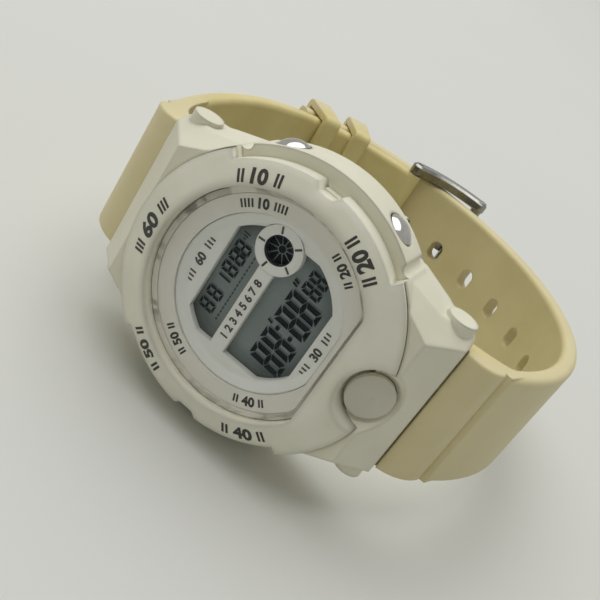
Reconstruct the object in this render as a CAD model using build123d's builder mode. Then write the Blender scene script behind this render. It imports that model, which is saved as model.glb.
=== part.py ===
from build123d import *
from math import asin, atan2, cos, degrees, radians, sin, sqrt

# A resin sports watch, buckled, lying on its 9 o'clock side. Every piece is made in the watch's own
# frame: X towards 3 o'clock, Y towards 12 o'clock, Z out of the face, zero at the middle of the printed
# ring under the crystal. The last lines lay the whole watch down. Sizes are in millimetres. Each
# piece's radius or reach is an inset or a length from the piece that carries it, the case first.

# Clearances, shared by all pieces
overrun = 1.0
running_gap = 0.05
seat_gap = 0.1
strap_gap = 0.25

# Case: its round middle, from which the other round pieces take their place
case_radius = 19.6
foot_inset = 1.6
foot_height = 1.8
shoulder_height = -2.2
bezel_seat = -0.9
roof_wall = 1.0
cavity_inset = 0.9
groove_radius = 0.9
groove_depth = 0.65
groove_angle = 39.5

# Bezel
bezel_inset = 0.2
bezel_side_inset = 1.3
bezel_skirt_wall = 0.8
bezel_side_angle = 42.0
bezel_crest = 1.9
bezel_crest_inset = 3.9
bezel_slope = 22.6
bezel_width = 4.5
bezel_chord_inset = 2.75
opening_corner = 1.6
crest_round = 2.4
rim_round = 0.3
notch_half_width = 1.6
notch_floor_half_width = 1.0
notch_depth = 0.95

# Crystal and its seat
crystal_side_gap = 0.12
crystal_seat_width = 0.8
crystal_thickness = 0.9
gasket_thickness = 0.15

# Dial ring, dial panel and the small dial
dial_ring_width = 2.4
dial_ring_thickness = 0.5
ring_ledge = 0.75
panel_drop = 0.3
panel_dish = 0.65
panel_dish_width = 1.3
panel_plate = 0.9
window_rim = 1.65
window_side_inset = 1.0
window_end_inset = 1.9
window_shift_x = 0.3
window_shift_y = -0.45
bar_low = 0.4
bar_high = 2.6
small_dial_inset = 4.13
small_dial_y = 1.5
small_dial_radius = 3.26
small_dial_hole = 1.95
small_dial_rise = 0.15

# Movement: display, boards, battery and what holds them
module_room = 1.9
module_wall = 1.1
module_foot = 0.45
display_side_lap = 0.75
display_end_lap = 1.4
display_ledge = 1.2
display_room = 0.9
display_sheet = 0.55
backlight_thickness = 0.3
board_drop = 2.15
board_thickness = 0.8
board_inset = 0.2
strip_width = 1.2
chip_size = 4.2
chip_height = 1.0
chip_corner = 0.5
chip_round = 0.33
battery_inset = 2.8
battery_thickness = 1.6
battery_round = 0.4
battery_x = 1.8
battery_gap = 0.1
clip_sheet = 0.25
clip_width = 5.0
quartz_radius = 0.8
quartz_length = 5.6
quartz_inset = 2.1
buzzer_inset = 1.0
buzzer_thickness = 0.25
buzzer_spring_radius = 0.8
buzzer_spring_bore = 0.5
buzzer_spring_angle = 229.7
back_room = 1.8

# Case back, its seal and its screws
back_lap = 0.25
back_corner = 6.5
back_thickness = 0.8
back_dish_inset = 2.65
back_dish_height = 0.6
back_dish_slope = 45.0
seal_inset = 0.25
seal_width = 0.8
seal_height = 0.6
screw_radius = 0.5
screw_head_radius = 1.05
screw_head_height = 0.45
screw_length = 2.6
screw_wall = 1.45

# Lugs: a hood over the strap's root, with an ear on each side
lug_length = 3.8
lug_half_width = 12.6
lug_root_half_width = 14.6
lug_root_setback = 11.0
lug_neck_setback = 4.9
hood_setback = 4.1
hood_top = -0.3
hood_fall = 5.0
hood_wall = 1.0
ear_drop = 0.8
ear_bottom_setback = 2.4
ear_foot_setback = 5.8
lug_corner = 2.1
boss_radius = 2.1
boss_height = 0.55
bevel_end_inset = 2.0
bevel_foot_inset = 0.1
bevel_top_setback = 8.8
bevel_top_drop = 0.4
bevel_end_rise = 0.1
bevel_foot_drop = 1.2

# Lug bars and the strap's root round them
bar_setback = 2.8
bar_drop = 1.9
bar_radius = 0.75
bar_tip_radius = 0.45
bar_tip_length = 1.4
barrel_radius = 2.15

# Side pushers, one turned shape on each of four axes through the dial's middle
pusher_angle = 25.5
pusher_drop = 3.1
cap_radius = 2.05
cap_inset = 0.05
cap_crown = 0.8
cap_depth = 1.05
well_depth = 2.4
stem_radius = 1.05
stem_overhang = 0.9
stem_groove_radius = 0.54
ring_section = 0.24
ring_groove_width = 0.62
ring_groove_wall = 1.6
clip_radius = 1.75
clip_thickness = 0.4
clip_neck_radius = 0.7
well_gap = 0.2
spring_wall = 0.35
spring_bore = 1.3

# Front button, tilted over the 6 o'clock lug
button_inset = 1.5
button_height = -0.7
button_tilt = 28.0
button_radius = 3.2
button_thickness = 1.7
button_crown = 0.25
button_well = 2.6
button_travel = 0.6
button_stem_radius = 0.95
button_stem_length = 7.3
button_ring_depth = 4.2
button_pocket_depth = 6.2
button_pocket_height = 2.4
button_pocket_radius = 2.1
button_clip_radius = 1.65
recess_floor = 0.9
recess_floor_radius = 3.6
recess_mouth_radius = 5.1
recess_rise = 2.2

# Strap: two bands on arcs about one centre, the hole half lying outside the buckle half
loop_y = -1.6
loop_drop = 0.4
loop_flare = 7.2
strap_thickness = 2.6
strap_half_width = 10.3
strap_end_half_width = 9.6
strap_round = 0.9
root_round = 0.3
layer_gap = 0.3
upper_shift = 32.2
upper_band_angle = -8.0
upper_blend_turn = 8.4
root_length = 5.55
root_drop = 2.8
root_crown_length = 3.2
root_step = 0.43
root_groove = 0.65
root_heel_setback = 0.2
root_heel_drop = 2.55
root_heel_slope = 26.5
root_tail_12 = 1.66
root_tail_6 = 0.64
hole_blend_turn = 17.3
tail_angle = -36.0
tail_corner = 6.0
hole_length = 3.6
hole_width = 2.4
hole_pitch = 8.3
tongue_hole_angle = -85.4
holes_before = 5
holes_after = 3

# Buckle
buckle_bar_angle = -79.5
buckle_bar_radius = 0.75
buckle_barrel_radius = 1.4
buckle_bar_tip = 1.36
rail_thickness = 1.7
rail_radius = 1.25
front_bar_radius = 1.0
front_bar_angle = -100.5
rail_crown_angle = -91.0
rail_crown_rise = 3.9
rail_round = 0.4
tongue_width = 2.0
tongue_thickness = 0.7
tongue_barrel_radius = 1.15
tongue_run_rise = 0.6
tongue_run_angle = -83.7
tongue_top_rise = 0.6
tongue_top_angle = -87.0
tongue_tip_angle = -104.5
tongue_slot_gap = 0.3
tongue_bend = 0.6

# Keepers
keeper_length = 3.8
keeper_wall = 1.3
keeper_corner = 1.2
keeper_round = 0.3
keeper_angle = -56.5
keeper_spacing = 7.5

# Radii and reaches that follow from these, from the case inwards, then out along the lugs
bezel_radius = case_radius - bezel_inset
bezel_side_radius = bezel_radius - bezel_side_inset
bezel_crest_radius = bezel_radius - bezel_crest_inset
bezel_opening = bezel_radius - bezel_width
bezel_chord = bezel_opening - bezel_chord_inset
skirt_inner = bezel_side_radius - bezel_skirt_wall
crystal_radius = bezel_opening - crystal_side_gap
crystal_chord = bezel_chord - crystal_side_gap
seat_radius = crystal_radius - crystal_seat_width
seat_chord = crystal_chord - crystal_seat_width / 2
cavity_radius = bezel_opening - cavity_inset
module_radius = cavity_radius - module_room
clip_reach = module_radius - module_wall
board_radius = clip_reach - board_inset
dial_ring_inner = seat_radius - dial_ring_width
panel_radius = dial_ring_inner - running_gap
panel_chord = seat_chord - ring_ledge - running_gap
window_radius = panel_radius - window_rim
small_dial_x = panel_radius - small_dial_inset
lug_end = case_radius + lug_length
hood_start = lug_end - hood_setback
bar_reach = lug_end - bar_setback
inner_band_radius = lug_end + loop_flare
outer_band_radius = inner_band_radius + strap_thickness + layer_gap
half_strap = strap_thickness / 2
loop_z = -inner_band_radius - loop_drop
loop_axis = Axis((0, loop_y, loop_z), (1, 0, 0))

# Heights that follow, from the printed ring down through the stack to the case back
panel_top = -panel_drop
panel_floor = panel_top - panel_dish
panel_bottom = panel_floor - panel_plate
display_bottom = panel_bottom - 2 * display_sheet
backlight_bottom = display_bottom - backlight_thickness
board_top = backlight_bottom - board_drop
board_bottom = board_top - board_thickness
battery_top = board_bottom - battery_gap
battery_bottom = battery_top - battery_thickness
module_bottom = battery_bottom - clip_sheet - module_foot
case_bottom = module_bottom - back_room
case_heel = case_bottom + foot_height
cavity_roof = shoulder_height - roof_wall
pusher_height = shoulder_height - pusher_drop
hood_end_top = hood_top - hood_fall
bar_height = hood_end_top - bar_drop
well_radius = cap_radius + well_gap


def on_loop(radius, angle):
    """The point of the side view at a radius and an angle about the strap loop's centre."""
    return (loop_y + radius * cos(radians(angle)), loop_z + radius * sin(radians(angle)))


def pusher_side(angle):
    """A plane through a pusher's axis: its X runs outwards along the axis, its Y is up the case."""
    turn = radians(angle)
    return Plane(
        origin=(0, 0, pusher_height), x_dir=(cos(turn), sin(turn), 0), z_dir=(sin(turn), -cos(turn), 0)
    )


def pusher_axis(angle):
    """The line that one pusher slides along."""
    turn = radians(angle)
    return Axis((0, 0, pusher_height), (cos(turn), sin(turn), 0))


def across_pusher(angle, reach):
    """A plane square to a pusher's axis, a distance out from the dial's middle."""
    turn = radians(angle)
    spot = (reach * cos(turn), reach * sin(turn), pusher_height)
    return Plane(origin=spot, x_dir=(-sin(turn), cos(turn), 0), z_dir=(cos(turn), sin(turn), 0))


def chorded(radius, chord, corner):
    """A round outline cut straight on its 6 o'clock side, with rounded corners."""
    with BuildSketch() as outline:
        Circle(radius)
        with Locations((0, -chord - radius)):
            Rectangle(2 * radius, 2 * radius, mode=Mode.SUBTRACT)
        fillet(outline.vertices(), corner)
    return outline.sketch


def side_wedges(radius, angle):
    """Two triangles from the middle that cover the 3 and 9 o'clock sides."""
    reach = 2 * radius
    rise = reach * sin(radians(angle)) / cos(radians(angle))
    with BuildSketch() as wedges:
        Polygon((0, 0), (reach, -rise), (reach, rise), align=None)
        Polygon((0, 0), (-reach, rise), (-reach, -rise), align=None)
    return wedges.sketch


def bezel_plan(gap):
    """The bezel's outline: full size towards the lugs, smaller beside the pushers."""
    with BuildSketch() as plan:
        Circle(bezel_radius + gap)
        add(side_wedges(bezel_radius + gap, bezel_side_angle), mode=Mode.SUBTRACT)
        Circle(bezel_side_radius + gap)
    return plan.sketch


pusher_angles = {
    "2": pusher_angle,
    "4": -pusher_angle,
    "8": 180 + pusher_angle,
    "10": 180 - pusher_angle,
}
button_reach = case_radius - button_inset
button_turn = radians(button_tilt)
button_spot = (0, -button_reach, button_height)
button_face = Plane(
    origin=button_spot, x_dir=(1, 0, 0), z_dir=(0, -sin(button_turn), cos(button_turn))
)
button_section = Plane(
    origin=button_spot, x_dir=(1, 0, 0), z_dir=(0, -cos(button_turn), -sin(button_turn))
)
button_axis = Axis(button_spot, (0, -sin(button_turn), cos(button_turn)))

# One lug quarter: its plan cut to its side view, its outer corner planed off, then mirrored.
hood_slope = atan2(hood_top - hood_end_top, lug_end - hood_start)
hood_inner_end = hood_end_top - hood_wall / cos(hood_slope)
bevel_top = Vector(lug_half_width, lug_end - bevel_top_setback, hood_top - bevel_top_drop)
bevel_end = Vector(lug_half_width - bevel_end_inset, lug_end, hood_end_top + bevel_end_rise)
bevel_foot = Vector(
    lug_half_width - bevel_foot_inset, lug_end - ear_bottom_setback, hood_end_top - bevel_foot_drop
)
bevel_out = (bevel_foot - bevel_top).cross(bevel_end - bevel_top)
with BuildPart() as lugs:
    with BuildSketch(Plane.XY.offset(case_bottom)) as lug_plan:
        with BuildLine():
            Polyline(
                (0, 0),
                (lug_root_half_width, 0),
                (lug_root_half_width, lug_end - lug_root_setback),
                (lug_half_width, lug_end - lug_neck_setback),
                (lug_half_width, lug_end),
                (0, lug_end),
                close=True,
            )
        make_face()
        fillet(lug_plan.vertices().sort_by(Axis((0, 0, 0), (1, 2, 0)))[-1], lug_corner)
    extrude(amount=-case_bottom)
    with BuildSketch(Plane.YZ):
        with BuildLine():
            Polyline(
                (0, case_bottom),
                (lug_end - ear_foot_setback, case_bottom),
                (lug_end - ear_bottom_setback, bar_height - barrel_radius),
                (lug_end, bar_height - ear_drop),
                (lug_end, hood_end_top),
                (hood_start, hood_top),
                (0, hood_top),
                close=True,
            )
        make_face()
    extrude(amount=lug_root_half_width, mode=Mode.INTERSECT)
    split(bisect_by=Plane(origin=bevel_top, z_dir=bevel_out), keep=Keep.BOTTOM)
    with BuildSketch(Plane.YZ.offset(lug_half_width - overrun)):
        with Locations((bar_reach, bar_height)):
            Circle(boss_radius)
    extrude(amount=overrun + boss_height)
    mirror(about=Plane.YZ)
    mirror(about=Plane.XZ)

# Room for the strap's root under a hood, in side view: round the bar, then open behind the lug.
with BuildPart() as root_room:
    with BuildSketch(Plane.YZ):
        with BuildLine():
            CenterArc((bar_reach, bar_height), barrel_radius + strap_gap, 0, 360)
            Line(
                (lug_end + overrun, case_bottom - overrun),
                (lug_end + overrun, hood_inner_end - overrun * sin(hood_slope) / cos(hood_slope)),
            )
            Line(
                (bar_reach - barrel_radius - strap_gap, case_bottom - overrun),
                (bar_reach, case_bottom - overrun),
            )
        make_hull()
    extrude(amount=strap_half_width + strap_gap, both=True)
    mirror(about=Plane.XZ)

# The dish round the front button, cut from both the bezel and the case.
with BuildPart() as button_dish:
    with BuildSketch(button_face.offset(-recess_floor)):
        Circle(recess_floor_radius)
    with BuildSketch(button_face.offset(-recess_floor + recess_rise)):
        Circle(recess_mouth_radius)
    loft()
    with BuildSketch(button_face.offset(-recess_floor + recess_rise)):
        Circle(recess_mouth_radius)
    extrude(amount=recess_rise)

# Case: the round middle, the lugs, then every seat, well and bore.
well_floor = case_radius - well_depth
seal_inner = cavity_radius + seal_inset
screw_reach = (seal_inner + seal_width + screw_wall) / sqrt(2)
with BuildPart() as case:
    with BuildSketch(Plane.XZ):
        with BuildLine():
            Polyline(
                (0, case_bottom),
                (case_radius - foot_inset, case_bottom),
                (case_radius, case_heel),
                (case_radius, hood_top),
                (0, hood_top),
                close=True,
            )
        make_face()
    revolve(axis=Axis.Z)
    add(lugs.part)
    with BuildSketch(Plane.XY.offset(bezel_seat)):
        add(bezel_plan(seat_gap))
    extrude(amount=-bezel_seat + overrun, mode=Mode.SUBTRACT)
    with BuildSketch(Plane.XY.offset(shoulder_height)):
        add(side_wedges(case_radius, bezel_side_angle))
        Circle(skirt_inner - running_gap, mode=Mode.SUBTRACT)
    extrude(amount=-shoulder_height + overrun, mode=Mode.SUBTRACT)
    with BuildSketch(Plane.XY.offset(bezel_seat)):
        add(chorded(crystal_radius, crystal_chord, opening_corner))
    extrude(amount=-bezel_seat)
    with BuildSketch(Plane.XY.offset(case_bottom)):
        Circle(cavity_radius)
    extrude(amount=cavity_roof - case_bottom, mode=Mode.SUBTRACT)
    with BuildSketch(Plane.XY.offset(cavity_roof)):
        add(chorded(seat_radius - ring_ledge, seat_chord - ring_ledge / 2, opening_corner))
    extrude(amount=-cavity_roof, mode=Mode.SUBTRACT)
    with BuildSketch(Plane.XY.offset(-dial_ring_thickness)):
        add(chorded(seat_radius, seat_chord, opening_corner))
    extrude(amount=dial_ring_thickness, mode=Mode.SUBTRACT)
    with BuildSketch(Plane.XY.offset(case_bottom)):
        with PolarLocations(case_radius + groove_radius - groove_depth, 2, groove_angle):
            Circle(groove_radius)
        with PolarLocations(case_radius + groove_radius - groove_depth, 2, -groove_angle):
            Circle(groove_radius)
    extrude(amount=shoulder_height - case_bottom, mode=Mode.SUBTRACT)
    add(root_room.part, mode=Mode.SUBTRACT)
    with BuildSketch(Plane.YZ):
        with Locations((bar_reach, bar_height), (-bar_reach, bar_height)):
            Circle(bar_tip_radius + running_gap)
    extrude(amount=strap_half_width + strap_gap + bar_tip_length, both=True, mode=Mode.SUBTRACT)
    for angle in pusher_angles.values():
        with BuildSketch(across_pusher(angle, well_floor)):
            Circle(well_radius)
        extrude(amount=case_radius - well_floor + overrun, mode=Mode.SUBTRACT)
        with BuildSketch(across_pusher(angle, cavity_radius - overrun)):
            Circle(stem_radius + running_gap)
        extrude(amount=well_floor - cavity_radius + 2 * overrun, mode=Mode.SUBTRACT)
    add(button_dish.part, mode=Mode.SUBTRACT)
    with BuildSketch(button_face.offset(-button_well)):
        Circle(button_radius + seat_gap)
    extrude(amount=button_well, mode=Mode.SUBTRACT)
    with BuildSketch(button_face.offset(-button_pocket_depth - button_pocket_height)):
        Circle(button_pocket_radius)
    extrude(amount=button_pocket_height, mode=Mode.SUBTRACT)
    with BuildSketch(button_face.offset(-button_thickness - button_stem_length - button_travel - seat_gap)):
        Circle(button_stem_radius + running_gap)
    extrude(amount=button_stem_length + button_travel, mode=Mode.SUBTRACT)
    with BuildSketch(Plane.XY.offset(case_bottom)):
        Circle(seal_inner + seal_width)
        Circle(seal_inner, mode=Mode.SUBTRACT)
    extrude(amount=seal_height, mode=Mode.SUBTRACT)
    with BuildSketch(Plane.XY.offset(case_bottom)):
        with GridLocations(2 * screw_reach, 2 * screw_reach, 2, 2):
            Circle(screw_radius + running_gap)
    extrude(amount=screw_length, mode=Mode.SUBTRACT)

# Bezel: a dome with a raised crest, cut to its plan, its opening and its notches.
slope_drop = bezel_crest_inset * sin(radians(bezel_slope)) / cos(radians(bezel_slope))
notch_floor = bezel_side_radius - notch_depth
with BuildPart() as bezel:
    with BuildSketch(Plane.XZ) as bezel_profile:
        with BuildLine():
            Polyline(
                (0, shoulder_height),
                (bezel_radius, shoulder_height),
                (bezel_radius, bezel_crest - slope_drop),
                (bezel_crest_radius, bezel_crest),
                (0, bezel_crest),
                close=True,
            )
        make_face()
        fillet(bezel_profile.vertices().sort_by_distance((bezel_crest_radius, bezel_crest))[0], crest_round)
    revolve(axis=Axis.Z)
    with BuildSketch(Plane.XY.offset(shoulder_height)):
        add(bezel_plan(0))
    extrude(amount=bezel_crest - shoulder_height, mode=Mode.INTERSECT)
    fillet(bezel.faces().sort_by(SortBy.AREA)[-1].outer_wire().edges(), rim_round)
    with BuildSketch(Plane.XY.offset(shoulder_height)):
        Circle(bezel_radius + overrun)
        add(side_wedges(bezel_radius, bezel_side_angle), mode=Mode.SUBTRACT)
        Circle(skirt_inner)
    extrude(amount=bezel_seat - shoulder_height, mode=Mode.SUBTRACT)
    with BuildSketch(Plane.XY.offset(shoulder_height)):
        add(chorded(bezel_opening, bezel_chord, opening_corner))
    extrude(amount=bezel_crest - shoulder_height, mode=Mode.SUBTRACT)
    with BuildSketch(Plane.XY.offset(shoulder_height)):
        for side in (1, -1):
            Polygon(
                (side * notch_floor, -notch_floor_half_width),
                (side * bezel_radius, -notch_half_width - bezel_side_inset),
                (side * bezel_radius, notch_half_width + bezel_side_inset),
                (side * notch_floor, notch_floor_half_width),
                align=None,
            )
    extrude(amount=bezel_crest - shoulder_height, mode=Mode.SUBTRACT)
    add(button_dish.part, mode=Mode.SUBTRACT)
    with BuildSketch(button_face.offset(-button_well)):
        Circle(button_radius + seat_gap)
    extrude(amount=button_well, mode=Mode.SUBTRACT)

# Crystal and the seal under it
with BuildPart() as crystal_gasket:
    with BuildSketch():
        add(chorded(crystal_radius, crystal_chord, opening_corner))
        add(chorded(seat_radius, seat_chord, opening_corner), mode=Mode.SUBTRACT)
    extrude(amount=gasket_thickness)

with BuildPart() as crystal:
    with BuildSketch(Plane.XY.offset(gasket_thickness)):
        add(chorded(crystal_radius, crystal_chord, opening_corner))
    extrude(amount=crystal_thickness)
    chamfer(crystal.faces().sort_by(Axis.Z)[-1].edges(), crystal_side_gap)

# Printed ring on the case's ledge
with BuildPart() as dial_ring:
    with BuildSketch(Plane.XY.offset(-dial_ring_thickness)):
        add(chorded(seat_radius - running_gap, seat_chord - running_gap, opening_corner))
        add(chorded(dial_ring_inner, seat_chord - ring_ledge, opening_corner), mode=Mode.SUBTRACT)
    extrude(amount=dial_ring_thickness)

# Dial panel: a dished edge, two windows with a bar between them, and a round seat for the small dial
window_half_width = window_radius - window_side_inset
window_half_height = window_radius - window_end_inset
with BuildPart() as dial_panel:
    with BuildSketch(Plane.XY.offset(panel_bottom)):
        add(chorded(panel_radius, panel_chord, opening_corner))
    extrude(amount=panel_top - panel_bottom)
    with BuildSketch(Plane.XY.offset(panel_floor)):
        add(chorded(panel_radius - panel_dish_width, panel_chord - panel_dish_width / 2, opening_corner))
    with BuildSketch(Plane.XY.offset(panel_top)):
        add(chorded(panel_radius, panel_chord, opening_corner))
    loft(mode=Mode.SUBTRACT)
    with BuildSketch(Plane.XY.offset(panel_bottom)):
        Circle(window_radius)
        with Locations((window_shift_x, window_shift_y)):
            Rectangle(2 * window_half_width, 2 * window_half_height, mode=Mode.INTERSECT)
        with Locations(((small_dial_x - panel_radius) / 2, (bar_low + bar_high) / 2)):
            Rectangle(small_dial_x + panel_radius, bar_high - bar_low, mode=Mode.SUBTRACT)
    extrude(amount=panel_plate, mode=Mode.SUBTRACT)
    with BuildSketch(Plane.XY.offset(panel_bottom)):
        with Locations((small_dial_x, small_dial_y)):
            Circle(small_dial_radius + running_gap)
    extrude(amount=panel_top - panel_bottom, mode=Mode.SUBTRACT)

with BuildPart() as small_dial_ring:
    with BuildSketch(Plane.XY.offset(panel_bottom)):
        with Locations((small_dial_x, small_dial_y)):
            Circle(small_dial_radius)
            Circle(small_dial_hole, mode=Mode.SUBTRACT)
    extrude(amount=panel_plate + small_dial_rise)

# Display: two glass sheets, the front one longer where the connector strips press on it
display_width = 2 * (window_half_width + display_side_lap)
display_height = 2 * (window_half_height + display_end_lap)
display_reach = seat_radius - ring_ledge - display_room
with BuildPart() as display_glass:
    with BuildSketch(Plane.XY.offset(panel_bottom - display_sheet)):
        Rectangle(display_width, display_height)
        Circle(display_reach, mode=Mode.INTERSECT)
    extrude(amount=display_sheet)
    with BuildSketch(Plane.XY.offset(display_bottom)):
        Rectangle(display_width, display_height - 2 * display_ledge)
        Circle(display_reach, mode=Mode.INTERSECT)
    extrude(amount=display_sheet)

with BuildPart() as backlight_panel:
    with BuildSketch(Plane.XY.offset(backlight_bottom)):
        Rectangle(display_width, display_height - 2 * display_ledge)
        Circle(display_reach, mode=Mode.INTERSECT)
    extrude(amount=backlight_thickness)

strip_y = (display_height - display_ledge) / 2
strip_edge = strip_y + strip_width / 2
strip_length = 2 * sqrt((clip_reach - seat_gap) ** 2 - strip_edge ** 2)
with BuildPart() as connector_strips:
    with BuildSketch(Plane.XY.offset(board_top)):
        with Locations((0, strip_y), (0, -strip_y)):
            Rectangle(strip_length, strip_width - 2 * running_gap)
    extrude(amount=panel_bottom - display_sheet - board_top)

# Circuit board with its chip and quartz can
quartz_x = quartz_inset - board_radius
with BuildPart() as circuit_board:
    with BuildSketch(Plane.XY.offset(board_bottom)):
        Circle(board_radius)
    extrude(amount=board_thickness)

with BuildPart() as chip:
    with BuildSketch(Plane.XY.offset(board_top)):
        RectangleRounded(chip_size, chip_size, chip_corner)
    extrude(amount=chip_height)
    chamfer(chip.faces().sort_by(Axis.Z)[-1].edges(), chip_round)

with BuildPart() as quartz_can:
    with BuildSketch(Plane.XZ.offset(-quartz_length / 2)):
        with Locations((quartz_x, board_bottom - quartz_radius)):
            Circle(quartz_radius)
    extrude(amount=quartz_length)

# Battery, the spring clip under it and the frame that holds the movement together
battery_radius = board_radius - battery_inset
with BuildPart() as battery:
    with BuildSketch(Plane.XY.offset(battery_bottom)):
        with Locations((battery_x, 0)):
            Circle(battery_radius)
    extrude(amount=battery_thickness)
    chamfer(battery.faces().sort_by(Axis.Z)[-1].edges(), battery_round)

with BuildPart() as battery_clip:
    with BuildSketch(Plane.XY.offset(battery_bottom - clip_sheet)):
        Circle(clip_reach)
        Rectangle(2 * clip_reach, clip_width, mode=Mode.INTERSECT)
    extrude(amount=clip_sheet)

with BuildPart() as module_frame:
    with BuildSketch(Plane.XY.offset(module_bottom)):
        Circle(module_radius)
        Circle(clip_reach, mode=Mode.SUBTRACT)
    extrude(amount=panel_bottom - module_bottom)
    with BuildSketch(Plane.XY.offset(cavity_roof - seat_gap)):
        with Locations((0, -panel_chord - module_radius)):
            Rectangle(2 * module_radius, 2 * module_radius)
    extrude(amount=panel_bottom - cavity_roof + seat_gap, mode=Mode.SUBTRACT)
    with BuildSketch(Plane.XY.offset(backlight_bottom)):
        Rectangle(display_width + seat_gap, display_height + seat_gap)
        Circle(display_reach + seat_gap, mode=Mode.INTERSECT)
    extrude(amount=panel_bottom - backlight_bottom, mode=Mode.SUBTRACT)
    with BuildSketch(Plane.XY.offset(board_bottom - module_wall)):
        Circle(clip_reach)
        Circle(board_radius - module_wall, mode=Mode.SUBTRACT)
        with Locations((battery_x, 0)):
            Circle(battery_radius + seat_gap, mode=Mode.SUBTRACT)
        with Locations((quartz_x, 0)):
            Rectangle(2 * quartz_radius + seat_gap, quartz_length + seat_gap, mode=Mode.SUBTRACT)
        Rectangle(2 * clip_reach, clip_width + seat_gap, mode=Mode.SUBTRACT)
    extrude(amount=module_wall)

# Buzzer disc glued inside the case back, with the spring that feeds it
buzzer_radius = board_radius - buzzer_inset
buzzer_spring_reach = board_radius - module_wall - buzzer_spring_radius - seat_gap
buzzer_turn = radians(buzzer_spring_angle)
buzzer_spring_spot = (buzzer_spring_reach * cos(buzzer_turn), buzzer_spring_reach * sin(buzzer_turn))
with BuildPart() as buzzer_disc:
    with BuildSketch(Plane.XY.offset(case_bottom)):
        Circle(buzzer_radius)
    extrude(amount=buzzer_thickness)

with BuildPart() as buzzer_spring:
    with BuildSketch(Plane.XY.offset(case_bottom + buzzer_thickness)):
        with Locations(buzzer_spring_spot):
            Circle(buzzer_spring_radius)
            Circle(buzzer_spring_bore, mode=Mode.SUBTRACT)
    extrude(amount=board_bottom - case_bottom - buzzer_thickness)

# Case back: a rounded square plate with a raised middle, covering the seal
back_size = 2 * (seal_inner + seal_width + back_lap)
with BuildPart() as case_back:
    with BuildSketch(Plane.XY.offset(case_bottom - back_thickness)):
        RectangleRounded(back_size, back_size, back_corner)
    extrude(amount=back_thickness)
    with BuildSketch(Plane.XY.offset(case_bottom - back_thickness)):
        Circle(seal_inner + seal_width - back_dish_inset)
    extrude(amount=-back_dish_height, taper=back_dish_slope)
    with BuildSketch(Plane.XY.offset(case_bottom - back_thickness)):
        with GridLocations(2 * screw_reach, 2 * screw_reach, 2, 2):
            Circle(screw_head_radius + seat_gap)
    extrude(amount=screw_head_height, mode=Mode.SUBTRACT)
    with BuildSketch(Plane.XY.offset(case_bottom - back_thickness)):
        with GridLocations(2 * screw_reach, 2 * screw_reach, 2, 2):
            Circle(screw_radius + seat_gap)
    extrude(amount=back_thickness, mode=Mode.SUBTRACT)

with BuildPart() as case_back_gasket:
    with BuildSketch(Plane.XY.offset(case_bottom)):
        Circle(seal_inner + seal_width - running_gap)
        Circle(seal_inner + running_gap, mode=Mode.SUBTRACT)
    extrude(amount=seal_height)

with BuildPart() as case_back_screws:
    with BuildSketch(Plane.XY.offset(case_bottom - back_thickness)):
        with GridLocations(2 * screw_reach, 2 * screw_reach, 2, 2):
            Circle(screw_head_radius)
    extrude(amount=screw_head_height)
    with BuildSketch(Plane.XY.offset(case_bottom - back_thickness)):
        with GridLocations(2 * screw_reach, 2 * screw_reach, 2, 2):
            Circle(screw_radius)
    extrude(amount=back_thickness + screw_length - seat_gap)


cap_rim_reach = case_radius - cap_inset
ring_middle = stem_groove_radius + running_gap / 2 + ring_section
neck_reach = cavity_radius - well_gap - running_gap - clip_thickness
ring_groove_reach = cavity_radius + ring_groove_wall
clip_mouth = 2 * (clip_neck_radius - 2 * running_gap)


def turned_pusher(angle):
    """One side pusher: a domed cap on a stem with a groove for its ring and a neck for its clip."""
    cap_back = cap_rim_reach - cap_depth
    with BuildPart() as pusher:
        with BuildSketch(pusher_side(angle)):
            with BuildLine():
                Polyline(
                    (cap_rim_reach + cap_crown, 0),
                    (cavity_radius - stem_overhang, 0),
                    (cavity_radius - stem_overhang, stem_radius),
                    (neck_reach, stem_radius),
                    (neck_reach, clip_neck_radius),
                    (neck_reach + clip_thickness, clip_neck_radius),
                    (neck_reach + clip_thickness, stem_radius),
                    (ring_groove_reach, stem_radius),
                    (ring_groove_reach, stem_groove_radius),
                    (ring_groove_reach + ring_groove_width, stem_groove_radius),
                    (ring_groove_reach + ring_groove_width, stem_radius),
                    (cap_back, stem_radius),
                    (cap_back, cap_radius),
                    (cap_rim_reach, cap_radius),
                )
                TangentArc((cap_rim_reach + cap_crown, 0), (cap_rim_reach, cap_radius), tangent=(0, 1))
            make_face()
        revolve(axis=pusher_axis(angle))
    return pusher


def pusher_ring(angle):
    """The square-cut rubber ring in a pusher's groove."""
    with BuildPart() as ring:
        with BuildSketch(pusher_side(angle)):
            with Locations((ring_groove_reach + ring_groove_width / 2, ring_middle)):
                Rectangle(2 * ring_section, 2 * ring_section)
        revolve(axis=pusher_axis(angle))
    return ring


def pusher_clip(angle):
    """The open clip behind the case wall that keeps a pusher in."""
    with BuildPart() as clip:
        with BuildSketch(across_pusher(angle, neck_reach + running_gap)):
            Circle(clip_radius)
            Circle(clip_neck_radius, mode=Mode.SUBTRACT)
            with Locations((clip_radius, 0)):
                Rectangle(2 * clip_radius, clip_mouth, mode=Mode.SUBTRACT)
        extrude(amount=clip_thickness - 2 * running_gap)
    return clip


def pusher_spring(angle):
    """The return spring round a pusher's stem, as its outer sleeve."""
    with BuildPart() as spring:
        with BuildSketch(across_pusher(angle, well_floor)):
            Circle(spring_bore + spring_wall)
            Circle(spring_bore, mode=Mode.SUBTRACT)
        extrude(amount=cap_rim_reach - cap_depth - well_floor)
    return spring


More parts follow.
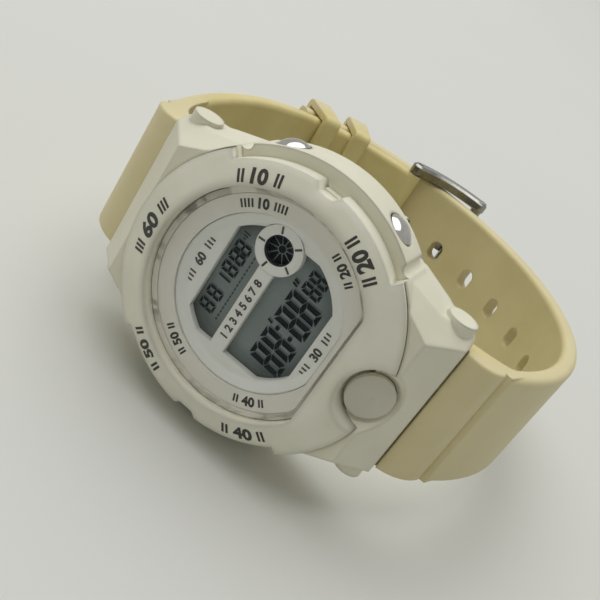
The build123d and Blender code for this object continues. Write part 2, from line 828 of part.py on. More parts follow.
# Front button: a shallow cap on a long stem through the case wall
with BuildPart() as light_button:
    with BuildSketch(button_section):
        with BuildLine():
            Polyline(
                (0, 0),
                (0, -button_thickness - button_stem_length),
                (button_stem_radius, -button_thickness - button_stem_length),
                (button_stem_radius, -button_pocket_depth - 2 * clip_thickness),
                (clip_neck_radius, -button_pocket_depth - 2 * clip_thickness),
                (clip_neck_radius, -button_pocket_depth - clip_thickness),
                (button_stem_radius, -button_pocket_depth - clip_thickness),
                (button_stem_radius, -button_ring_depth - ring_groove_width),
                (stem_groove_radius, -button_ring_depth - ring_groove_width),
                (stem_groove_radius, -button_ring_depth),
                (button_stem_radius, -button_ring_depth),
                (button_stem_radius, -button_thickness),
                (button_radius, -button_thickness),
                (button_radius, -button_crown),
            )
            TangentArc((0, 0), (button_radius, -button_crown), tangent=(1, 0))
        make_face()
    revolve(axis=button_axis)

with BuildPart() as light_button_ring:
    with BuildSketch(button_section):
        with Locations((ring_middle, -button_ring_depth - ring_groove_width / 2)):
            Rectangle(2 * (ring_section - running_gap), 2 * (ring_section - running_gap))
    revolve(axis=button_axis)

with BuildPart() as light_button_clip:
    with BuildSketch(button_face.offset(-button_pocket_depth - 2 * clip_thickness + running_gap)):
        Circle(button_clip_radius)
        Circle(clip_neck_radius, mode=Mode.SUBTRACT)
        with Locations((button_clip_radius, 0)):
            Rectangle(2 * button_clip_radius, clip_mouth, mode=Mode.SUBTRACT)
    extrude(amount=clip_thickness - 2 * running_gap)

with BuildPart() as light_button_spring:
    with BuildSketch(button_face.offset(-button_well)):
        Circle(spring_bore + spring_wall)
        Circle(spring_bore, mode=Mode.SUBTRACT)
    extrude(amount=button_well - button_thickness)


def band_end(centre, radius, turn):
    """The strap's section, with its edges rounded, square to an arc at an angle about its centre."""
    spot = (0, centre[0] + radius * cos(turn), centre[1] + radius * sin(turn))
    with BuildSketch(Plane(origin=spot, x_dir=(1, 0, 0), z_dir=(0, sin(turn), -cos(turn)))) as section:
        RectangleRounded(2 * strap_end_half_width, strap_thickness, strap_round)
    return section.sketch


def strap_root(corner, into, blend, blend_tangent):
    """The thick block behind a lug in side view, from the barrel round the bar to the band."""
    under_hood = hood_inner_end - strap_gap
    heel_slope = radians(root_heel_slope)
    crown = (lug_end + root_crown_length, bar_height)
    tail = (lug_end + root_length, bar_height - root_drop)
    heel = (lug_end - root_heel_setback, bar_height - root_heel_drop)
    with BuildSketch() as block:
        with BuildLine():
            Polyline(
                (bar_reach, bar_height),
                (bar_reach + barrel_radius * sin(hood_slope), bar_height + barrel_radius * cos(hood_slope)),
                (lug_end, under_hood),
                (lug_end + strap_gap, under_hood),
                (lug_end + strap_gap, hood_inner_end + root_step),
            )
            ThreePointArc(
                (lug_end + strap_gap, hood_inner_end + root_step),
                crown,
                tail,
            )
            Polyline(
                tail,
                ((tail[0] + corner[0]) / 2 - root_groove, (tail[1] + corner[1]) / 2 - root_groove / 2),
                corner,
                into,
                blend,
            )
            Spline(
                blend,
                heel,
                tangents=(blend_tangent, (-cos(heel_slope), sin(heel_slope))),
            )
            Polyline(heel, (bar_reach, bar_height - barrel_radius), (bar_reach, bar_height))
        make_face()
        with Locations((bar_reach, bar_height)):
            Circle(barrel_radius)
            Circle(bar_radius + running_gap, mode=Mode.SUBTRACT)
    return block.sketch


def taper_plan():
    """The root's width against its reach: full in the lug, as narrow as the band where it ends."""
    root_end = lug_end + root_length
    with BuildSketch(Plane.XY) as plan:
        Polygon(
            (-strap_half_width, 0),
            (-strap_half_width, lug_end),
            (-strap_end_half_width, root_end),
            (-strap_end_half_width, root_end + strap_thickness),
            (strap_end_half_width, root_end + strap_thickness),
            (strap_end_half_width, root_end),
            (strap_half_width, lug_end),
            (strap_half_width, 0),
            align=None,
        )
    return plan.sketch


def crown_edges(half, side):
    """The side edges of a root's domed top, outside the hood; side is 1 for 12 o'clock, -1 for 6."""
    outside = half.edges().filter_by(lambda edge: side * edge.center().Y > lug_end + strap_gap)
    domed = outside.filter_by(lambda edge: edge.center().Z > bar_height - root_drop)
    return domed.filter_by(lambda edge: abs(edge.center().X) > strap_end_half_width / 2)


# Buckle half of the strap: a lower and an upper arc, the root, and a barrel for the buckle's bar
strap_depth = -loop_z
upper_band_radius = inner_band_radius + upper_shift
upper_turn = radians(upper_band_angle)
upper_centre = (loop_y - upper_shift * cos(upper_turn), loop_z - upper_shift * sin(upper_turn))


def on_upper(radius, turn):
    """The point of the side view at a radius and an angle about the upper arc's centre."""
    return (upper_centre[0] + radius * cos(turn), upper_centre[1] + radius * sin(turn))


corner_height_12 = bar_height - root_drop - root_tail_12
corner_turn = asin((corner_height_12 - upper_centre[1]) / (upper_band_radius + half_strap))
blend_turn = corner_turn - radians(upper_blend_turn)
corner_12 = on_upper(upper_band_radius + half_strap, corner_turn)
into_12 = on_upper(upper_band_radius, blend_turn)
blend_12 = on_upper(upper_band_radius - half_strap, blend_turn)
buckle_bar_spot = on_loop(inner_band_radius, buckle_bar_angle)
with BuildPart() as strap_buckle_half:
    with BuildSketch(Plane.YZ):
        add(strap_root(corner_12, into_12, blend_12, (-sin(blend_turn), cos(blend_turn))))
    extrude(amount=strap_half_width, both=True)
    add(extrude(taper_plan(), amount=strap_depth, dir=(0, 0, -1), mode=Mode.PRIVATE), mode=Mode.INTERSECT)
    fillet(crown_edges(strap_buckle_half, 1), root_round)
    add(band_end((loop_y, loop_z), inner_band_radius, radians(buckle_bar_angle)))
    revolve(axis=loop_axis, revolution_arc=upper_band_angle - buckle_bar_angle)
    add(band_end(upper_centre, upper_band_radius, upper_turn))
    revolve(axis=Axis((0, *upper_centre), (1, 0, 0)), revolution_arc=degrees(corner_turn - upper_turn))
    with BuildSketch(Plane.YZ):
        with Locations(buckle_bar_spot):
            Circle(buckle_barrel_radius)
    extrude(amount=strap_end_half_width, both=True)
    with BuildSketch(Plane.YZ):
        with Locations(buckle_bar_spot):
            Circle(buckle_bar_radius + running_gap)
    extrude(amount=strap_end_half_width, both=True, mode=Mode.SUBTRACT)
    with BuildSketch(Plane.YZ):
        with Locations(buckle_bar_spot):
            Circle(buckle_barrel_radius + tongue_barrel_radius)
    extrude(amount=tongue_width / 2 + tongue_slot_gap, both=True, mode=Mode.SUBTRACT)

# Hole half of the strap: one long arc outside the other half, with its row of holes
corner_height_6 = bar_height - root_drop - root_tail_6
hole_band_start = 180 - degrees(asin((corner_height_6 - loop_z) / (outer_band_radius + half_strap)))
hole_blend = hole_band_start + hole_blend_turn
blend_6_turn = radians(hole_blend)
corner_6 = on_loop(outer_band_radius + half_strap, hole_band_start)
into_6 = on_loop(outer_band_radius, hole_blend)
blend_6 = on_loop(outer_band_radius - half_strap, hole_blend)
hole_turn = degrees(hole_pitch / outer_band_radius)
hole_angles = [tongue_hole_angle + step * hole_turn for step in range(-holes_before, holes_after)]
tail_turn = radians(tail_angle)
tip = Plane(
    origin=(0, *on_loop(outer_band_radius, tail_angle)),
    x_dir=(1, 0, 0),
    z_dir=(0, cos(tail_turn), sin(tail_turn)),
)
with BuildPart() as strap_hole_half:
    with BuildSketch(Plane.YZ):
        add(strap_root(
            (-corner_6[0], corner_6[1]),
            (-into_6[0], into_6[1]),
            (-blend_6[0], blend_6[1]),
            (sin(blend_6_turn), -cos(blend_6_turn)),
        ))
        mirror(about=Plane.YZ, mode=Mode.REPLACE)
    extrude(amount=strap_half_width, both=True)
    root_plan = mirror(taper_plan(), about=Plane.XZ, mode=Mode.PRIVATE)
    add(extrude(root_plan, amount=strap_depth, dir=(0, 0, -1), mode=Mode.PRIVATE), mode=Mode.INTERSECT)
    fillet(crown_edges(strap_hole_half, -1), root_round)
    add(band_end((loop_y, loop_z), outer_band_radius, radians(hole_band_start)))
    revolve(axis=loop_axis, revolution_arc=360 + tail_angle - hole_band_start)
    for angle in hole_angles:
        spot = on_loop(outer_band_radius, angle)
        turn = radians(angle)
        with BuildSketch(Plane(origin=(0, *spot), x_dir=(1, 0, 0), z_dir=(0, cos(turn), sin(turn)))):
            SlotOverall(hole_length, hole_width)
        extrude(amount=strap_thickness, both=True, mode=Mode.SUBTRACT)
    with BuildSketch(tip):
        with Locations((0, -tail_corner / 2)):
            Rectangle(2 * (strap_end_half_width + overrun), tail_corner + 2 * overrun)
        with Locations((0, -tail_corner - overrun)):
            RectangleRounded(
                2 * strap_end_half_width, 2 * (tail_corner + overrun), tail_corner, mode=Mode.SUBTRACT
            )
    extrude(amount=strap_thickness, both=True, mode=Mode.SUBTRACT)

# Lug bars and the buckle's bar: a barrel with a thin tip at each end
def strap_bar(spot, radius, half_length, tip_length):
    """A bar along X with a thinner tip at each end."""
    with BuildPart() as bar:
        with BuildSketch(Plane.YZ):
            with Locations(spot):
                Circle(radius)
        extrude(amount=half_length, both=True)
        with BuildSketch(Plane.YZ):
            with Locations(spot):
                Circle(bar_tip_radius)
        extrude(amount=half_length + tip_length, both=True)
    return bar


lug_bar_12 = strap_bar((bar_reach, bar_height), bar_radius, strap_half_width, bar_tip_length)
lug_bar_6 = strap_bar((-bar_reach, bar_height), bar_radius, strap_half_width, bar_tip_length)
rail_inner = strap_end_half_width + strap_gap + running_gap
buckle_bar = strap_bar(buckle_bar_spot, buckle_bar_radius, rail_inner - seat_gap, buckle_bar_tip)

# Buckle frame: two rails and the front bar that the tongue rests on
front_bar_reach = outer_band_radius + half_strap + layer_gap + front_bar_radius
front_bar_spot = on_loop(front_bar_reach, front_bar_angle)
rail_crown = on_loop(inner_band_radius + rail_crown_rise, rail_crown_angle)
with BuildPart() as buckle_frame:
    with BuildSketch(Plane.YZ.offset(rail_inner)):
        with BuildLine():
            ThreePointArc(buckle_bar_spot, rail_crown, front_bar_spot)
        trace(line_width=2 * rail_radius)
        with Locations(buckle_bar_spot, front_bar_spot):
            Circle(rail_radius)
        with Locations(buckle_bar_spot):
            Circle(bar_tip_radius + running_gap, mode=Mode.SUBTRACT)
    extrude(amount=rail_thickness)
    chamfer(buckle_frame.faces().sort_by(Axis.X)[-1].outer_wire().edges(), rail_round)
    mirror(about=Plane.YZ)
    with BuildSketch(Plane.YZ):
        with Locations(front_bar_spot):
            Circle(front_bar_radius)
    extrude(amount=rail_inner + rail_thickness, both=True)

# Tongue: rolled round the bar, up through a hole of the strap, then over it to the front bar
run_radius = inner_band_radius + tongue_run_rise
top_radius = outer_band_radius + half_strap + tongue_top_rise
tip_radius = front_bar_reach + front_bar_radius + seat_gap + tongue_thickness / 2
with BuildPart() as buckle_tongue:
    with BuildSketch(Plane.YZ):
        with BuildLine():
            FilletPolyline(
                on_loop(run_radius, buckle_bar_angle),
                on_loop(run_radius, tongue_run_angle),
                on_loop(top_radius, tongue_top_angle),
                on_loop(tip_radius, front_bar_angle),
                on_loop(tip_radius, tongue_tip_angle),
                radius=tongue_bend,
            )
        trace(line_width=tongue_thickness)
        with Locations(buckle_bar_spot):
            Circle(tongue_barrel_radius)
            Circle(buckle_bar_radius + running_gap, mode=Mode.SUBTRACT)
    extrude(amount=tongue_width / 2, both=True)


def keeper(angle, gap):
    """A loop of resin round both layers of the strap, one keeper long."""
    inner = inner_band_radius - half_strap - gap
    outer = outer_band_radius + half_strap + strap_gap
    half = strap_end_half_width + strap_gap
    sweep = degrees(keeper_length / outer)
    turn = radians(angle - sweep / 2)
    radial = (0, cos(turn), sin(turn))
    middle = (0, *on_loop((inner + outer) / 2, angle - sweep / 2))
    with BuildPart() as loop:
        with BuildSketch(Plane(origin=middle, x_dir=(1, 0, 0), z_dir=(0, sin(turn), -cos(turn)))):
            RectangleRounded(2 * (half + keeper_wall), outer - inner + 2 * keeper_wall, keeper_corner)
            Rectangle(2 * half, outer - inner, mode=Mode.SUBTRACT)
        revolve(axis=loop_axis, revolution_arc=sweep)
        fillet(loop.faces().sort_by(SortBy.AREA)[-1].edges(), keeper_round)
    return loop


keeper_spacing_arc = keeper_spacing / outer_band_radius
keeper_fixed = keeper(keeper_angle, 0)
keeper_free = keeper(keeper_angle + degrees(keeper_spacing_arc), strap_gap)

pieces = {
    "case": case,
    "bezel": bezel,
    "crystal": crystal,
    "crystal_gasket": crystal_gasket,
    "dial_ring": dial_ring,
    "dial_panel": dial_panel,
    "small_dial_ring": small_dial_ring,
    "display_glass": display_glass,
    "backlight_panel": backlight_panel,
    "connector_strips": connector_strips,
    "circuit_board": circuit_board,
    "chip": chip,
    "quartz_can": quartz_can,
    "battery": battery,
    "battery_clip": battery_clip,
    "module_frame": module_frame,
    "buzzer_disc": buzzer_disc,
    "buzzer_spring": buzzer_spring,
    "case_back": case_back,
    "case_back_gasket": case_back_gasket,
    "case_back_screws": case_back_screws,
    "light_button": light_button,
    "light_button_ring": light_button_ring,
    "light_button_clip": light_button_clip,
    "light_button_spring": light_button_spring,
    "strap_buckle_half": strap_buckle_half,
    "strap_hole_half": strap_hole_half,
    "lug_bar_12": lug_bar_12,
    "lug_bar_6": lug_bar_6,
    "buckle_bar": buckle_bar,
    "buckle_frame": buckle_frame,
    "buckle_tongue": buckle_tongue,
    "keeper_fixed": keeper_fixed,
    "keeper_free": keeper_free,
}
for hour, angle in pusher_angles.items():
    pieces["pusher_" + hour] = turned_pusher(angle)
    pieces["pusher_ring_" + hour] = pusher_ring(angle)
    pieces["pusher_clip_" + hour] = pusher_clip(angle)
    pieces["pusher_spring_" + hour] = pusher_spring(angle)

# The watch lies on its 9 o'clock guard and on the edge of its buckle, so its face looks slightly up.
# The origin goes to the middle of its footprint, on the surface that it lies on.
buckle_depth = -front_bar_spot[1]
lean = atan2(case_radius - rail_inner - rail_thickness, buckle_depth + case_heel)
leaning = Plane(origin=(0, 0, 0), x_dir=(0, sin(lean), cos(lean)), z_dir=(0, -cos(lean), sin(lean)))
extent = Compound([piece.part.moved(leaning.location) for piece in pieces.values()]).bounding_box()
footing = (-(extent.min.X + extent.max.X) / 2, -(extent.min.Y + extent.max.Y) / 2, -extent.min.Z)
lying = Location(footing) * leaning.location

print("lean in degrees", degrees(lean))
print("origin of the watch's own frame", footing)
for name, piece in pieces.items():
    laid = piece.part.moved(lying)
    laid.label = name
    export_step(laid, "parts/" + name + ".step")
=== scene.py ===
import math

import bpy
from mathutils import Matrix, Vector


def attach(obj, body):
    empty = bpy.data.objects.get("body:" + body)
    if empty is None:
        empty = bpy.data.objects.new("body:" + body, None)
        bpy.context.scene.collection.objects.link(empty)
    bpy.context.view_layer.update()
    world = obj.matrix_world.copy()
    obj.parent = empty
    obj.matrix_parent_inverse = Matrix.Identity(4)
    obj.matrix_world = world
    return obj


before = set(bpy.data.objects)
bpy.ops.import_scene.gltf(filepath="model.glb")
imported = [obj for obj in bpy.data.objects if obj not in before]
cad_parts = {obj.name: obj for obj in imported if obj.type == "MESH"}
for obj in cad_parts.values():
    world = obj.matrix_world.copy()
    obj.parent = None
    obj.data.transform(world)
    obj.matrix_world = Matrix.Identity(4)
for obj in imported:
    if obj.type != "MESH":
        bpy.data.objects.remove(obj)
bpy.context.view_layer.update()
bpy.context.scene.view_settings.view_transform = "Standard"

# The table top, the camera and the light.
# The watch lies on its side on a matt painted sheet. A wide soft lamp hangs above it, behind and to the left,
# and a weak one stands in front. The camera looks down on the watch, turned as in the photograph.
bpy.ops.object.select_all(action="DESELECT")
bpy.ops.mesh.primitive_plane_add(size=3.0, location=(0, 0, 0))
floor = bpy.context.object
floor.name = "floor"
millimetre = 0.001


def linear(code):
    """Turns a colour written as it looks into the values that a shader works with."""
    parts = [int(code[i:i + 2], 16) / 255 for i in (0, 2, 4)]
    return tuple(p / 12.92 if p <= 0.04045 else ((p + 0.055) / 1.055) ** 2.4 for p in parts) + (1.0,)


def add(tree, kind, settings, links=()):
    """Adds one node with its settings and the links that come into it."""
    made = tree.nodes.new(kind)
    for name, value in settings.items():
        if name in made.inputs:
            made.inputs[name].default_value = value
        elif name == "ramp":
            for stop, (position, code) in zip(made.color_ramp.elements, value):
                stop.position = position
                stop.color = linear(code)
        else:
            setattr(made, name, value)
    for name, source in dict(links).items():
        tree.links.new(source, made.inputs[name])
    return made


def fresh(name):
    """A new material and its empty node tree."""
    made = bpy.data.materials.new(name)
    made.use_nodes = True
    made.node_tree.nodes.clear()
    return made, made.node_tree


def clouded(name, cloud, detail, stops, surface):
    """Paint or ink. Its colour wanders between two stops, in clouds of that size in millimetres."""
    made, tree = fresh(name)
    place = add(tree, "ShaderNodeTexCoord", {})
    drift = add(tree, "ShaderNodeTexNoise", {"Scale": 1 / (cloud * millimetre), "Detail": detail},
                {"Vector": place.outputs["Object"]})
    tint = add(tree, "ShaderNodeValToRGB", {"ramp": stops}, {"Fac": drift.outputs["Fac"]})
    coat = add(tree, "ShaderNodeBsdfPrincipled", surface, {"Base Color": tint.outputs["Color"]})
    add(tree, "ShaderNodeOutputMaterial", {}, {"Surface": coat.outputs["BSDF"]})
    return made


# Painted sheet: flat pale grey, faintly uneven in clouds about a hand wide.
paint = clouded("matt_painted_sheet", cloud=111, detail=2.0, stops=((0, "d4d5cf"), (1, "dadbd6")),
                surface={"Roughness": 0.8})
floor.data.materials.append(paint)

# The camera's lens and place are fitted to the photograph.
camera_data = bpy.data.cameras.new("camera")
camera_data.sensor_width = 36.0
camera_data.lens = 54.36
camera_data.clip_start = 0.005
camera = bpy.data.objects.new("camera", camera_data)
bpy.context.collection.objects.link(camera)
camera.location = (0.02107, -0.12149, 0.08367)
camera.rotation_euler = (math.radians(52.879), math.radians(-27.197), math.radians(31.470))
bpy.context.scene.camera = camera


def lamp(name, size, power, spot):
    """A soft square lamp at a spot, turned to the middle of the watch."""
    data = bpy.data.lights.new(name, "AREA")
    data.shape = "SQUARE"
    data.size = size
    data.energy = power
    made = bpy.data.objects.new(name, data)
    bpy.context.collection.objects.link(made)
    made.location = spot
    watch_middle = Vector((0, 0, 0.02))
    made.rotation_euler = (watch_middle - Vector(spot)).to_track_quat("-Z", "Y").to_euler()


lamp("sky_lamp", size=1.1, power=7.8, spot=(-0.2, 0.18, 0.86))
lamp("front_lamp", size=1.0, power=0.5, spot=(-0.75, -0.7, 0.5))

# The room lights the watch softly. It is as pale as the table where it is seen, mirrored or looked at
# through glass.
room_light, room_paleness = 0.29, 0.66
world = bpy.data.worlds.new("room")
bpy.context.scene.world = world
world.use_nodes = True
room = world.node_tree
room.nodes["Background"].inputs["Color"].default_value = linear("f5f4ef")
rays = add(room, "ShaderNodeLightPath", {})
mirrored = add(room, "ShaderNodeMath", {"operation": "MAXIMUM"},
               {0: rays.outputs["Is Glossy Ray"], 1: rays.outputs["Is Transmission Ray"]})
seen = add(room, "ShaderNodeMath", {"operation": "MAXIMUM"},
           {0: rays.outputs["Is Camera Ray"], 1: mirrored.outputs["Value"]})
strength = add(room, "ShaderNodeMapRange", {"To Min": room_light, "To Max": room_paleness},
               {"Value": seen.outputs["Value"]})
room.links.new(strength.outputs["Result"], room.nodes["Background"].inputs["Strength"])

# Module frame: a black moulded frame of glass-filled plastic that carries everything inside the case.
# It has a dull, faintly speckled face with slightly rounded edges.
mark_depth = 0.1 * millimetre
corner_reach = 0.7 * millimetre


def resin(name, low, high, grain, roughness, edge, depth=0.05, glow=0.0, cloud=7.0, shade_and_grime=None):
    """Moulded plastic. Where a colour for it is given, painted shade and grime darken its corners. Grain,
    edge and cloud are in millimetres.
    """
    made, tree = fresh(name)
    place = add(tree, "ShaderNodeTexCoord", {})
    patch = add(tree, "ShaderNodeTexNoise", {"Scale": 1 / (cloud * millimetre), "Detail": 3.0},
                {"Vector": place.outputs["Object"]})
    tint = add(tree, "ShaderNodeValToRGB", {"ramp": ((0.35, low), (0.65, high))},
               {"Fac": patch.outputs["Fac"]})
    colour = tint.outputs["Color"]
    fine = add(tree, "ShaderNodeTexNoise", {"Scale": 1 / (grain * millimetre), "Detail": 2.0},
               {"Vector": place.outputs["Object"]})
    if shade_and_grime:
        # Painted shade: an ambient occlusion mask darkens the colour in corners, where shade falls, together
        # with grime.
        corner = add(tree, "ShaderNodeAmbientOcclusion",
                     {"samples": 4, "only_local": True, "Distance": corner_reach})
        deep = add(tree, "ShaderNodeMapRange", {"From Min": 0.6, "From Max": 0.2, "To Max": 0.4},
                   {"Value": corner.outputs["AO"]})
        shaded_and_grimy = add(tree, "ShaderNodeMix", {"data_type": "RGBA"}, {"Factor": deep.outputs["Result"]})
        tree.links.new(colour, shaded_and_grimy.inputs[6])
        shaded_and_grimy.inputs[7].default_value = linear(shade_and_grime)
        colour = shaded_and_grimy.outputs[2]
    sheen = add(tree, "ShaderNodeMapRange", {"To Min": roughness - 0.05, "To Max": roughness + 0.07},
                {"Value": patch.outputs["Fac"]})
    soft = add(tree, "ShaderNodeBevel", {"samples": 6, "Radius": edge * millimetre})
    bump = add(tree, "ShaderNodeBump", {"Strength": depth, "Distance": mark_depth},
               {"Height": fine.outputs["Fac"], "Normal": soft.outputs["Normal"]})
    body = add(tree, "ShaderNodeBsdfPrincipled",
               {"IOR": 1.5, "Subsurface Weight": glow, "Subsurface Scale": 1.0,
                "Subsurface Radius": (1.2 * millimetre, 0.9 * millimetre, 0.6 * millimetre)},
               {"Base Color": colour, "Roughness": sheen.outputs["Result"], "Normal": bump.outputs["Normal"]})
    add(tree, "ShaderNodeOutputMaterial", {}, {"Surface": body.outputs["BSDF"]})
    return made


def dress(node, material):
    """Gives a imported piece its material."""
    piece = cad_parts[node]
    for slot in piece.material_slots:
        slot.material = material
    if not piece.material_slots:
        piece.data.materials.append(material)


dress("module_frame", resin("black_filled_plastic", "161617", "222224", grain=0.12, roughness=0.55,
                            edge=0.1, depth=0.12))

# Circuit board, chip and quartz can: green lacquered laminate with fine copper tracks under the lacquer.
# The chip is black moulded epoxy, slightly rough. The quartz can is a drawn and plated little tin.
board, tree = fresh("green_lacquered_laminate")
place = add(tree, "ShaderNodeTexCoord", {})
turned = add(tree, "ShaderNodeMapping", {"Rotation": (math.radians(90), 0, 0)},
             {"Vector": place.outputs["Object"]})
# The tracks are 0.3 mm wide and 1.25 mm apart, coarser than real ones so that they show. Their unit here is
# 2.5 mm, and half of a track belongs to each side.
tracks = add(tree, "ShaderNodeTexBrick",
             {"Scale": 1 / (2.5 * millimetre), "Mortar Size": 0.06, "Brick Width": 1.6, "Row Height": 0.5,
              "Color1": linear("1d5a34"), "Color2": linear("236b3d"), "Mortar": linear("6d8a4a")},
             {"Vector": turned.outputs["Vector"]})
raised = add(tree, "ShaderNodeBump", {"Strength": 0.3, "Distance": mark_depth},
             {"Height": tracks.outputs["Fac"]})
lacquer = add(tree, "ShaderNodeBsdfPrincipled", {"Roughness": 0.28},
              {"Base Color": tracks.outputs["Color"], "Normal": raised.outputs["Normal"]})
add(tree, "ShaderNodeOutputMaterial", {}, {"Surface": lacquer.outputs["BSDF"]})
dress("circuit_board", board)
dress("chip", resin("black_moulded_epoxy", "0f0f10", "1a1a1b", grain=0.06, roughness=0.4, edge=0.06,
                    depth=0.15))


def metal(name, dull, bright, roughness, grain, stretch=(1, 1, 1), depth=0.04, edge=0.08):
    """Bare metal. Grain and edge are in millimetres, and its marks are drawn out where stretch is small."""
    made, tree = fresh(name)
    place = add(tree, "ShaderNodeTexCoord", {})
    drawn = add(tree, "ShaderNodeMapping", {"Scale": stretch}, {"Vector": place.outputs["Object"]})
    marks = add(tree, "ShaderNodeTexNoise", {"Scale": 1 / (grain * millimetre), "Detail": 4.0},
                {"Vector": drawn.outputs["Vector"]})
    tint = add(tree, "ShaderNodeValToRGB", {"ramp": ((0.3, dull), (0.7, bright))},
               {"Fac": marks.outputs["Fac"]})
    worn = add(tree, "ShaderNodeMapRange", {"To Min": roughness[0], "To Max": roughness[1]},
               {"Value": marks.outputs["Fac"]})
    soft = add(tree, "ShaderNodeBevel", {"samples": 6, "Radius": edge * millimetre})
    bump = add(tree, "ShaderNodeBump", {"Strength": depth, "Distance": mark_depth},
               {"Height": marks.outputs["Fac"], "Normal": soft.outputs["Normal"]})
    body = add(tree, "ShaderNodeBsdfPrincipled", {"Metallic": 1.0},
               {"Base Color": tint.outputs["Color"], "Roughness": worn.outputs["Result"],
                "Normal": bump.outputs["Normal"]})
    add(tree, "ShaderNodeOutputMaterial", {}, {"Surface": body.outputs["BSDF"]})
    return made


dress("quartz_can", metal("nickel_plated_can", "a9a69d", "c4c1b8", roughness=(0.22, 0.4), grain=0.4))

# Battery and its clip: a stainless steel button cell under a sprung strip of the same steel.
# The cell has a fine turned face, the clip a plain rolled one.
dress("battery", metal("turned_cell_steel", "9c9c9a", "c2c2bf", roughness=(0.2, 0.38), grain=0.15,
                       stretch=(1, 1, 0.2), edge=0.15))
dress("battery_clip", metal("rolled_spring_steel", "8d8c88", "b3b2ad", roughness=(0.25, 0.4), grain=0.2,
                            stretch=(0.15, 1, 1)))

# Connector strips and backlight: soft silicone strips, layered dark and pale, join the board and the display.
# Real layers are a tenth of a millimetre thick, drawn here at a third of one so that they show.
# The backlight is a coated sheet with a smooth, pale green face.
layer = 0.334
layered_silicone, tree = fresh("layered_silicone")
place = add(tree, "ShaderNodeTexCoord", {})
# A wave comes back after pi / 10 over its scale, with one dark and one pale layer in it.
layers = add(tree, "ShaderNodeTexWave",
             {"Scale": math.pi / 10 / (2 * layer * millimetre), "bands_direction": "Z"},
             {"Vector": place.outputs["Object"]})
tint = add(tree, "ShaderNodeValToRGB", {"ramp": ((0.4, "1d1c1b"), (0.6, "b9b4a9"))},
           {"Fac": layers.outputs["Fac"]})
soft = add(tree, "ShaderNodeBsdfPrincipled", {"Roughness": 0.55}, {"Base Color": tint.outputs["Color"]})
add(tree, "ShaderNodeOutputMaterial", {}, {"Surface": soft.outputs["BSDF"]})
dress("connector_strips", layered_silicone)
dress("backlight_panel", resin("coated_backlight_sheet", "bcc4b0", "c8cfbd", grain=0.08, roughness=0.4,
                               edge=0.05))

# Display: a grey reflective liquid-crystal glass with dark seven-segment digits, all of them driven.
# The segments' soft painted shadow lies on the reflector, and painted shade darkens the glass toward its rim.
# Its places are in the watch's own frame: X to 3 o'clock, Y to 12 o'clock, Z out of the face, in millimetres.
lean = math.radians(7.867)
dial_middle = (-0.0028933, -0.0323447, 0.0207296)
lay = Matrix((
    (0, -millimetre, 0, dial_middle[0]),
    (millimetre * math.sin(lean), 0, -millimetre * math.cos(lean), dial_middle[1]),
    (millimetre * math.cos(lean), 0, millimetre * math.sin(lean), dial_middle[2]),
    (0, 0, 0, 1),
))


def from_axis(tree, point, centre, along=(0, 0, 1)):
    """How far a point lies from a line, given by a point and a direction in the watch's own frame."""
    offset = add(tree, "ShaderNodeVectorMath", {"operation": "SUBTRACT"}, {0: point})
    offset.inputs[1].default_value = lay @ Vector(centre)
    swept = add(tree, "ShaderNodeVectorMath", {"operation": "CROSS_PRODUCT"}, {0: offset.outputs["Vector"]})
    swept.inputs[1].default_value = (lay.to_3x3() @ Vector(along)).normalized()
    distance = add(tree, "ShaderNodeVectorMath", {"operation": "LENGTH"}, {0: swept.outputs["Vector"]})
    return distance.outputs["Value"]


# Reflective film on the back of the glass: matt and pearly, a little cloudy.
glass_middle = (0.6, -0.2, -1.85)
polarizer, tree = fresh("grey_display_glass")
place = add(tree, "ShaderNodeTexCoord", {})
haze = add(tree, "ShaderNodeTexNoise", {"Scale": 1 / (3.85 * millimetre)},
           {"Vector": place.outputs["Object"]})
reach = from_axis(tree, place.outputs["Object"], glass_middle)
# Painted shade: the film darkens between 6.8 mm and 10 mm from its middle, where the housing's shadow falls.
rim_shade = add(tree, "ShaderNodeMapRange", {"From Min": 6.8 * millimetre, "From Max": 10 * millimetre},
          {"Value": reach})
pearl = add(tree, "ShaderNodeTexNoise", {"Scale": 1 / (0.0714 * millimetre), "Detail": 2.0},
            {"Vector": place.outputs["Object"]})
tint = add(tree, "ShaderNodeValToRGB", {"ramp": ((0.3, "778180"), (0.7, "808a88"))},
           {"Fac": haze.outputs["Fac"]})
grainy = add(tree, "ShaderNodeBump", {"Strength": 0.08, "Distance": mark_depth},
             {"Height": pearl.outputs["Fac"]})
shaded = add(tree, "ShaderNodeMix", {"data_type": "RGBA"}, {"Factor": rim_shade.outputs["Result"]})
tree.links.new(tint.outputs["Color"], shaded.inputs[6])
shaded.inputs[7].default_value = linear("4a5250")
film = add(tree, "ShaderNodeBsdfPrincipled", {"Roughness": 0.35, "Specular IOR Level": 0.2},
           {"Base Color": shaded.outputs[2], "Normal": grainy.outputs["Normal"]})
add(tree, "ShaderNodeOutputMaterial", {}, {"Surface": film.outputs["BSDF"]})
dress("display_glass", polarizer)


def crystal_ink(name, low, high):
    """A driven segment or its shadow: an even tone that is a little paler in spots."""
    return clouded(name, cloud=1.11, detail=3.0, stops=((0.3, low), (0.7, high)),
                   surface={"Roughness": 0.4, "Specular IOR Level": 0.1})


def settle(piece, name, body, material):
    """Takes a finished piece from the watch's own frame to where the watch lies, and lets it ride."""
    piece.name = name
    piece.data.transform(lay @ piece.matrix_world)
    piece.matrix_world = Matrix.Identity(4)
    piece.data.materials.clear()
    piece.data.materials.append(material)
    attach(piece, body)
    return piece


def together(pieces):
    """Joins several meshes into the first one."""
    bpy.ops.object.select_all(action="DESELECT")
    for piece in pieces:
        piece.select_set(True)
    bpy.context.view_layer.objects.active = pieces[0]
    bpy.ops.object.join()
    return bpy.context.object


